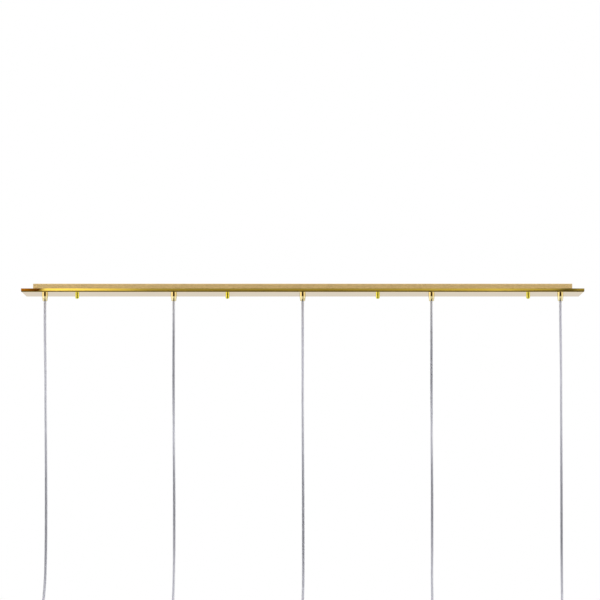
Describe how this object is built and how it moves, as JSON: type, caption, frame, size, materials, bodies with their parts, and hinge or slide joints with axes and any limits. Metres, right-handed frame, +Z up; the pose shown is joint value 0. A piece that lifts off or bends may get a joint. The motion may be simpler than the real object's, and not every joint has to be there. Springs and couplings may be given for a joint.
{
  "type": "linear island pendant light",
  "caption": "Long two-tier ceiling canopy with a row of lampholders hanging on straight clear cords that can swing.",
  "frame": {"origin": "middle of the housing's upper face, where the canopy meets the ceiling", "axes": "+X along the canopy, +Y from its front to its back, +Z up into the ceiling"},
  "size_m": [1.3, 0.1, 0.79],
  "materials": {
    "polished_gold": "mirror-polished, gold-plated steel",
    "satin_gold": "fine satin, gold-plated steel",
    "polished_brass": "polished",
    "gold_aluminium": "polished, gold anodised",
    "zinc_steel": "zinc plated",
    "clear_cord": "clear jacket over silvery conductors",
    "connector_plastic": "moulded",
    "cable_sheath": "smooth sheath",
    "ceramic": "unglazed",
    "contact_metal": "plain"
  },
  "bodies": {
    "canopy": {"face_plate": "polished_gold", "housing": "satin_gold", "mounting_studs": "zinc_steel", "cap_nuts": "polished_brass", "cord_grips": "polished_brass", "grip_lock_nuts": "zinc_steel", "cord_tails": "clear_cord", "splice_connectors": "connector_plastic", "run_cable": "cable_sheath", "terminal_block": "connector_plastic", "earth_strap": "contact_metal", "earth_stud": "contact_metal", "earth_nut": "contact_metal"},
    "flex_1": {"cord_bend_1": "clear_cord"},
    "pendant_1": {"cord_1": "clear_cord", "lampholder_1": "gold_aluminium", "lampholder_insert_1": "ceramic", "lampholder_contacts_1": "contact_metal"},
    "flex_2": {"cord_bend_2": "clear_cord"},
    "pendant_2": {"cord_2": "clear_cord", "lampholder_2": "gold_aluminium", "lampholder_insert_2": "ceramic", "lampholder_contacts_2": "contact_metal"},
    "flex_3": {"cord_bend_3": "clear_cord"},
    "pendant_3": {"cord_3": "clear_cord", "lampholder_3": "gold_aluminium", "lampholder_insert_3": "ceramic", "lampholder_contacts_3": "contact_metal"},
    "flex_4": {"cord_bend_4": "clear_cord"},
    "pendant_4": {"cord_4": "clear_cord", "lampholder_4": "gold_aluminium", "lampholder_insert_4": "ceramic", "lampholder_contacts_4": "contact_metal"},
    "flex_5": {"cord_bend_5": "clear_cord"},
    "pendant_5": {"cord_5": "clear_cord", "lampholder_5": "gold_aluminium", "lampholder_insert_5": "ceramic", "lampholder_contacts_5": "contact_metal"}
  },
  "joints": [
    {"name": "swing_along_1", "type": "hinge", "parent": "canopy", "child": "flex_1", "pos_m": [-0.6, 0, -0.03825], "axis": [0, 1, 0], "range_deg": [-9, 9]},
    {"name": "swing_across_1", "type": "hinge", "parent": "flex_1", "child": "pendant_1", "pos_m": [-0.6, 0, -0.04075], "axis": [1, 0, 0], "range_deg": [-25, 25]},
    {"name": "swing_along_2", "type": "hinge", "parent": "canopy", "child": "flex_2", "pos_m": [-0.3, 0, -0.03825], "axis": [0, 1, 0], "range_deg": [-9, 9]},
    {"name": "swing_across_2", "type": "hinge", "parent": "flex_2", "child": "pendant_2", "pos_m": [-0.3, 0, -0.04075], "axis": [1, 0, 0], "range_deg": [-25, 25]},
    {"name": "swing_along_3", "type": "hinge", "parent": "canopy", "child": "flex_3", "pos_m": [0, 0, -0.03825], "axis": [0, 1, 0], "range_deg": [-9, 9]},
    {"name": "swing_across_3", "type": "hinge", "parent": "flex_3", "child": "pendant_3", "pos_m": [0, 0, -0.04075], "axis": [1, 0, 0], "range_deg": [-25, 25]},
    {"name": "swing_along_4", "type": "hinge", "parent": "canopy", "child": "flex_4", "pos_m": [0.3, 0, -0.03825], "axis": [0, 1, 0], "range_deg": [-9, 9]},
    {"name": "swing_across_4", "type": "hinge", "parent": "flex_4", "child": "pendant_4", "pos_m": [0.3, 0, -0.04075], "axis": [1, 0, 0], "range_deg": [-25, 25]},
    {"name": "swing_along_5", "type": "hinge", "parent": "canopy", "child": "flex_5", "pos_m": [0.6, 0, -0.03825], "axis": [0, 1, 0], "range_deg": [-9, 9]},
    {"name": "swing_across_5", "type": "hinge", "parent": "flex_5", "child": "pendant_5", "pos_m": [0.6, 0, -0.04075], "axis": [1, 0, 0], "range_deg": [-25, 25]}
  ]
}
